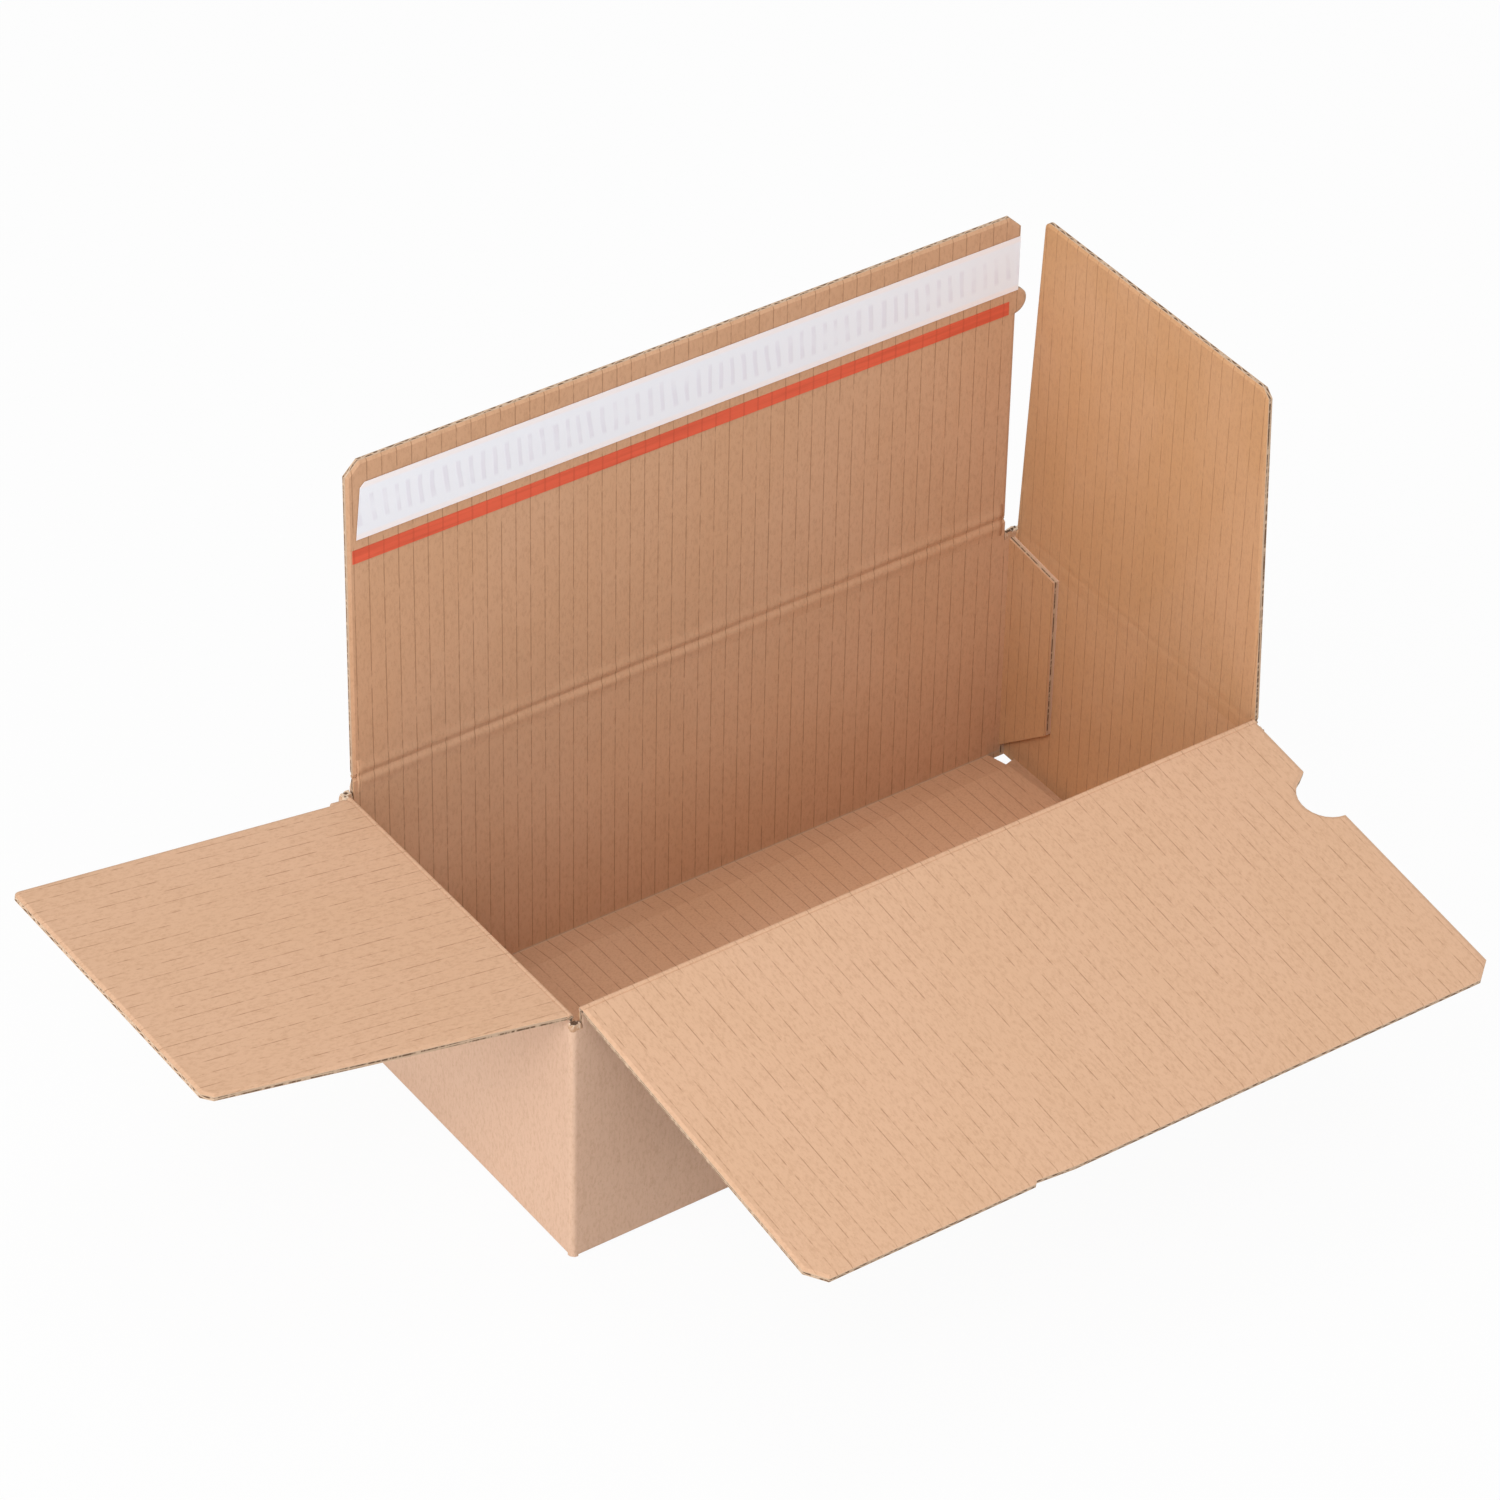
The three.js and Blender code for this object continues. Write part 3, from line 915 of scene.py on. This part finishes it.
@dataclass
class LidFlap:
    """A lid flap: its board, the rounded crease that it turns on and any score line there.

    Attributes:
        body: The body that it moves with; not used.
        fold: Its crease.
        score: Its score line, or None for a flap that is folded out, where none shows.
        board: The board it is cut from.
        bead_segments: Faces round the crease.
    """

    body: str
    fold: Fold
    score: ScoreShape | None = None
    board: Board = Board()
    bead_segments: int = 20

    def dress(self, frame: dict, finish: KraftFinish) -> None:
        """Give the flap its finish and build its crease.

        Args:
            frame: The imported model.
            finish: The board's finish.
        """
        node = self.fold.side.flap()
        give_finish(frame, node, finish.for_flap("kraft_" + node, self.fold))
        bending = finish.for_bend(f"kraft_{node}_crease")
        self.crease_bead(bending)
        if self.score:
            for face in Face:
                self.score_strip(bending, face)

    def to_frame(self, mesh: bmesh.types.BMesh) -> None:
        """Note each point's place on the flat board, then turn the mesh into the frame.

        Args:
            mesh: A mesh with X along the crease, Y up the flap and Z outward.
        """
        sheet_place = mesh.verts.layers.float_vector.new(SHEET_PLACE)
        for vert in mesh.verts:
            depth = math.copysign(self.board.thickness / 2, vert.co.z)
            vert[sheet_place] = (vert.co.x, vert.co.y, depth)
        bmesh.ops.transform(mesh, matrix=self.fold.placement(), verts=list(mesh.verts))

    def crease_bead(self, material: bpy.types.Material) -> None:
        """The bent board at the crease: a bead as thick as the board, or slimmer under a score.

        Args:
            material: The finish of a bent piece.
        """
        radius = self.board.thickness / (4 if self.score else 2)
        mesh = bmesh.new()
        bmesh.ops.create_circle(mesh, segments=self.bead_segments, radius=radius, cap_ends=True)
        grown = bmesh.ops.extrude_face_region(mesh, geom=list(mesh.faces))
        tip = [part for part in grown["geom"] if isinstance(part, bmesh.types.BMVert)]
        bmesh.ops.translate(mesh, verts=tip, vec=(0, 0, self.fold.high - self.fold.low))
        bmesh.ops.translate(mesh, verts=list(mesh.verts), vec=(0, 0, self.fold.low))
        bmesh.ops.transform(mesh, matrix=Matrix.Rotation(math.pi / 2, 4, "Y"), verts=list(mesh.verts))
        self.to_frame(mesh)
        crease = mesh_object(self.fold.side.flap() + "_crease", mesh, material)
        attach(crease, "carton")

    def score_strip(self, material: bpy.types.Material, face: Face) -> None:
        """Liner paper pressed into the crease.

        Args:
            material: The finish of a bent piece.
            face: The face of the board that it covers.
        """
        cells_along, cells_up = 150, 44
        turning = 1.2 * MM
        paper = 0.12 * MM
        end_gap = 1.6 * MM
        length = self.fold.high - self.fold.low - 2 * end_gap
        middle = (self.fold.low + self.fold.high) / 2
        mesh = bmesh.new()
        bmesh.ops.create_grid(mesh, x_segments=cells_along, y_segments=cells_up, size=0.5)
        bmesh.ops.scale(mesh, vec=(length, 2 * self.score.reach, 1), verts=list(mesh.verts))
        for vert in mesh.verts:
            vert.co.x += middle
            height = self.score.height(vert.co.x, vert.co.y)
            vert.co.z = face.value * (self.board.thickness / 2 + height)
        bmesh.ops.solidify(mesh, geom=list(mesh.faces), thickness=paper * face.value)
        self.to_frame(mesh)
        name = f"{self.fold.side.flap()}_score_{face.name.lower()}"
        strip = mesh_object(name, mesh, material, smooth=True)
        below, above = (self.fold.placement() @ Vector((0, up, 0)) for up in (-turning, turning))
        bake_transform(strip)


@dataclass
class RimCorner:
    """What is left of the board where two lid flaps were cut apart at a corner.

    Attributes:
        name: The piece's name.
        side_x: −1 for the left wall, 1 for the right one.
        side_y: −1 for the front wall, 1 for the rear one.
        end_x: Distance from the middle to the end of the long flap's crease.
        end_y: Distance from the middle to the end of the side flap's crease.
        top: Height of its torn edge.
        walls: The four walls.
        crumple: How far the torn board bulges.
        ragged: How far its torn edge goes up and down.
        board: The board.
    """

    name: str
    side_x: int
    side_y: int
    end_x: float
    end_y: float
    top: float
    walls: Walls
    crumple: float = 0.5 * MM
    ragged: float = 2.2 * MM
    board: Board = Board()

    def build(self, material: bpy.types.Material, floor: float) -> None:
        """Build the torn board along both walls.

        Args:
            material: Its finish.
            floor: Height of the bottom of the slot.
        """
        off_flap, off_corner, off_face = 0.3 * MM, 0.4 * MM, 0.1 * MM
        half = self.board.thickness / 2 - off_face
        outer_x = self.walls.half_length + half
        outer_y = self.walls.half_width + half
        mesh = bmesh.new()
        self.shred(mesh, (outer_x - 2 * half, outer_x), (self.end_y + off_flap, outer_y - off_corner), floor)
        self.shred(mesh, (self.end_x + off_flap, outer_x - off_corner), (outer_y - 2 * half, outer_y), floor)
        bmesh.ops.scale(mesh, vec=(self.side_x, self.side_y, 1), verts=list(mesh.verts))
        piece = mesh_object(self.name, mesh, material, smooth=True)
        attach(piece, "carton")

    def shred(self, mesh: bmesh.types.BMesh, x: tuple, y: tuple, floor: float) -> None:
        """Add one crumpled strip of board, ragged along its top.

        Args:
            mesh: Where it is added.
            x: Its near and far X.
            y: Its near and far Y.
            floor: Its foot.
        """
        rooted, cuts, pinch = 0.3 * MM, 9, 0.22
        coarse, fine = 700, 1900  # creases for each metre
        foot = floor - rooted
        before = len(mesh.verts)
        made = bmesh.ops.create_cube(mesh, size=1)["verts"]
        size = Vector((x[1] - x[0], y[1] - y[0], self.top - foot))
        centre = Vector((x[0] + x[1], y[0] + y[1], self.top + foot)) / 2
        bmesh.ops.scale(mesh, vec=size, verts=made)
        bmesh.ops.translate(mesh, vec=centre, verts=made)
        edges = list({edge for vert in made for edge in vert.link_edges})
        bmesh.ops.subdivide_edges(mesh, edges=edges, cuts=cuts, use_grid_fill=True)
        mesh.verts.ensure_lookup_table()
        for vert in mesh.verts[before:]:
            share = (vert.co.z - foot) / size.z
            shake = noise.noise_vector(vert.co * coarse) * 0.35 + noise.noise_vector(vert.co * fine) * 0.12
            vert.co.x += shake.x * self.crumple * share
            vert.co.y += shake.y * self.crumple * share
            vert.co.z += (shake.z - 0.3) * self.ragged * share ** 3
            inward = (centre - vert.co) * pinch * share ** 2
            vert.co.x += inward.x
            vert.co.y += inward.y


@dataclass
class Carton:
    """The folded and glued sheet: walls, glue flap and crash lock base.

    Attributes:
        walls: The four walls.
        creases: The crease on each side.
        slot_depth: From the left crease down to the bottom of the slots at the rim corners.
    """

    walls: Walls
    creases: dict[Side, Fold]
    slot_depth: float = 4 * MM

    def dress(self, frame: dict, finish: KraftFinish) -> None:
        """Give the carton its finish.

        Args:
            frame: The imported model.
            finish: The board's finish.
        """
        give_finish(frame, "carton_body", finish.for_carton(self.walls))

    def tear_corners(self) -> None:
        """Build what is left of the board at the four corners of the rim."""
        torn = TornFinish().make("torn_board")
        floor = self.creases[Side.LEFT].pivot.z - self.slot_depth
        front, right, rear, left = ((abs(self.creases[s].low), abs(self.creases[s].high)) for s in Side)
        for corner in (
            RimCorner("rim_front_left", -1, -1, front[0], left[1], 110.6 * MM, self.walls),
            RimCorner("rim_front_right", 1, -1, front[1], right[0], 110.8 * MM, self.walls),
            RimCorner("rim_rear_left", -1, 1, rear[1], left[0], 112.0 * MM, self.walls),
            RimCorner("rim_rear_right", 1, 1, rear[0], right[1], 111.2 * MM, self.walls),
        ):
            corner.build(torn, floor)


@dataclass
class SealStrip:
    """The peel-and-seal tape, its release liner and the tear strip.

    Attributes:
        border: Width of the plain band along the liner's edges.
        hot_melt: Finish of the glue.
        tear_tape: Finish of the tear strip.
    """

    border: float = 5.5 * MM
    hot_melt: TapeFinish = TapeFinish(srgb(232, 220, 198), srgb(214, 196, 168), 0.35, 0.2)
    tear_tape: TapeFinish = TapeFinish(srgb(226, 98, 70), srgb(192, 76, 52), 0.5, 0.45)

    def dress(self, frame: dict) -> None:
        """Give the strips their finishes.

        Args:
            frame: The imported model.
        """
        heights = [vert.co.z for vert in frame["nodes"]["release_liner"].data.vertices]
        middle = (min(heights) + max(heights)) / 2
        band = (max(heights) - min(heights)) / 2 - self.border
        give_finish(frame, "release_liner", PaperFinish(middle, band).make("release_paper"))
        give_finish(frame, "adhesive_strip", self.hot_melt.make("hot_melt"))
        give_finish(frame, "tear_strip", self.tear_tape.make("tear_tape"))


@dataclass(frozen=True)
class Softbox:
    """A square lamp that faces the box.

    Attributes:
        name: The lamp's name.
        place: Where it stands.
        width: Its width.
        power: Its power in watts.
    """

    name: str
    place: tuple[float, float, float]
    width: float
    power: float

    def build(self, target: Vector) -> None:
        """Hang the lamp.

        Args:
            target: What it faces.
        """
        data = bpy.data.lights.new(self.name, "AREA")
        data.size = self.width
        data.energy = self.power
        lamp = bpy.data.objects.new(self.name, data)
        bpy.context.scene.collection.objects.link(lamp)
        lamp.location = self.place
        lamp.rotation_euler = (target - Vector(self.place)).to_track_quat("-Z", "Y").to_euler()


@dataclass(frozen=True)
class Studio:
    """Camera, floor, lamps and white surround.

    Attributes:
        position: The camera's place.
        heading: Degrees that it looks to the right of +Y.
        tilt: Degrees that it looks down.
        roll: Degrees that the picture leans.
        focal: Focal length, in sensor widths.
        sensor: Sensor width in millimetres.
        target: Where the lamps point.
        floor_tone: How pale the floor is.
        floor_reach: From its middle to its sides.
        floor_gap: From the floor up to the box.
        floor_white: How white the camera sees the floor.
        room_light: Strength of the surround as a lamp.
        lamps: The lamps.
    """

    position: tuple[float, float, float] = (-1.101786, -1.516362, 1.573985)
    heading: float = 35.367
    tilt: float = 37.885
    roll: float = 1.234
    focal: float = 6415.06 / 1500
    sensor: float = 36
    target: tuple[float, float, float] = (0.0, 0.0, 0.1)
    floor_tone: float = 0.62
    floor_reach: float = 6
    floor_gap: float = 0.2 * MM
    floor_white: float = 0.95
    room_light: float = 0.62
    lamps: tuple[Softbox, ...] = (
        Softbox("key", (-1.3, -1.2, 2.2), 0.9, 20),
        Softbox("left", (-2.2, 0.0, 1.2), 0.9, 12),
        Softbox("top", (0.1, 0.2, 2.6), 1.0, 11),
        Softbox("front", (-0.2, -2.3, 1.3), 0.9, 11),
        Softbox("low", (-1.15, -0.02, 0.14), 0.4, 3.6),
    )

    def camera(self) -> None:
        """Place the camera as the photograph was taken."""
        data = bpy.data.cameras.new("camera")
        data.sensor_width = self.sensor
        data.lens = self.sensor * self.focal
        camera = bpy.data.objects.new("camera", data)
        bpy.context.scene.collection.objects.link(camera)
        aim = Euler((math.radians(90 - self.tilt), 0, -math.radians(self.heading)))
        lean = Matrix.Rotation(math.radians(self.roll), 4, "Z")
        camera.matrix_world = Matrix.Translation(self.position) @ aim.to_matrix().to_4x4() @ lean
        bpy.context.scene.camera = camera

    def floor(self) -> None:
        """A plain pale floor, which the camera and reflections see as nearly white."""
        mesh = bmesh.new()
        bmesh.ops.create_grid(mesh, x_segments=1, y_segments=1, size=self.floor_reach)
        bench = NodeBench.for_material("pale_floor")
        pale = bench.add("BsdfPrincipled")
        pale.inputs["Base Color"].default_value = (self.floor_tone, self.floor_tone, self.floor_tone, 1)
        pale.inputs["Roughness"].default_value = 0.9
        path = bench.add("LightPath")
        seen = bench.math("MAXIMUM", path.outputs["Is Camera Ray"], path.outputs["Is Glossy Ray"])
        seen = bench.math("MAXIMUM", seen, path.outputs["Is Transmission Ray"])
        mixed = bench.add("MixShader")
        bench.link(bench.times(seen, self.floor_white), mixed.inputs[0])
        bench.link(pale.outputs[0], mixed.inputs[1])
        bench.link(bench.add("Emission").outputs[0], mixed.inputs[2])
        floor = mesh_object("floor", mesh, bench.finish(mixed.outputs[0]))
        floor.location.z = -self.floor_gap

    def world(self) -> None:
        """A white surround."""
        bench = NodeBench(bpy.data.worlds.new("surround"))
        path = bench.add("LightPath")
        seen = bench.math("MAXIMUM", path.outputs["Is Camera Ray"], path.outputs["Is Glossy Ray"])
        background = bench.add("Background")
        background.inputs["Color"].default_value = (1, 1, 1, 1)
        bench.link(bench.mix(seen, self.room_light, 1.0), background.inputs["Strength"])
        bpy.context.scene.world = bench.finish(background.outputs[0], "OutputWorld")

    def build(self) -> None:
        """Set the whole studio up."""
        bpy.context.scene.view_settings.view_transform = "Standard"
        self.camera()
        self.floor()
        self.world()
        for lamp in self.lamps:
            lamp.build(Vector(self.target))
        LOG.info("studio is set")


def find_creases(frame: dict) -> dict[Side, Fold]:
    """The four creases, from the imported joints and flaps.

    Args:
        frame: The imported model.

    Returns:
        The crease on each side.
    """
    on_crease = 3 * MM
    upright = -90
    bodies = frame["record"]["behaviour"]["bodies"]
    joints = {joint["child"]: joint for joint in frame["joints"]}
    found = {}
    for side in Side:
        joint = joints[next(name for name, members in bodies.items() if side.flap() in members)]
        axis, pivot = Vector(joint["axis"]), Vector(joint["pos_m"])
        points = [vert.co for vert in frame["nodes"][side.flap()].data.vertices]
        ends = [point.dot(axis) for point in points if (point - pivot).cross(axis).length < on_crease]
        opening = upright - joint["range_deg"][0]
        found[side] = Fold(side, pivot, opening, min(ends), max(ends))
    return found


def main() -> None:
    """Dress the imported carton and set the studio."""
    logging.basicConfig(level=logging.INFO)
    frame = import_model()
    creases = find_creases(frame)
    walls = Walls(abs(creases[Side.RIGHT].pivot.x), abs(creases[Side.REAR].pivot.y))
    carton = Carton(walls, creases)
    upright = KraftFinish(line_breaks=0.4)
    # the opened flaps face up: their inner liner is paler and less yellow, a painted sheen
    opened_painted_sheen = KraftFinish(inside=srgb(206, 167, 136), line_breaks=0.65)
    # the standing right flap faces along X: its inner liner is darker and yellower, painted shade
    standing_painted_shade = KraftFinish(inside=srgb(194, 148, 106), line_strength=0.55, line_breaks=0.45)
    carton.dress(frame, upright)
    LidFlap("front_lid", creases[Side.FRONT]).dress(frame, opened_painted_sheen)
    LidFlap("left_side", creases[Side.LEFT]).dress(frame, opened_painted_sheen)
    LidFlap("rear_lid", creases[Side.REAR], ScoreShape(swell=0.34 * MM)).dress(frame, upright)
    LidFlap("right_side", creases[Side.RIGHT], ScoreShape(swell=0.07 * MM)).dress(frame, standing_painted_shade)
    carton.tear_corners()
    SealStrip().dress(frame)
    Studio().build()


if __name__ == "__main__":
    main()
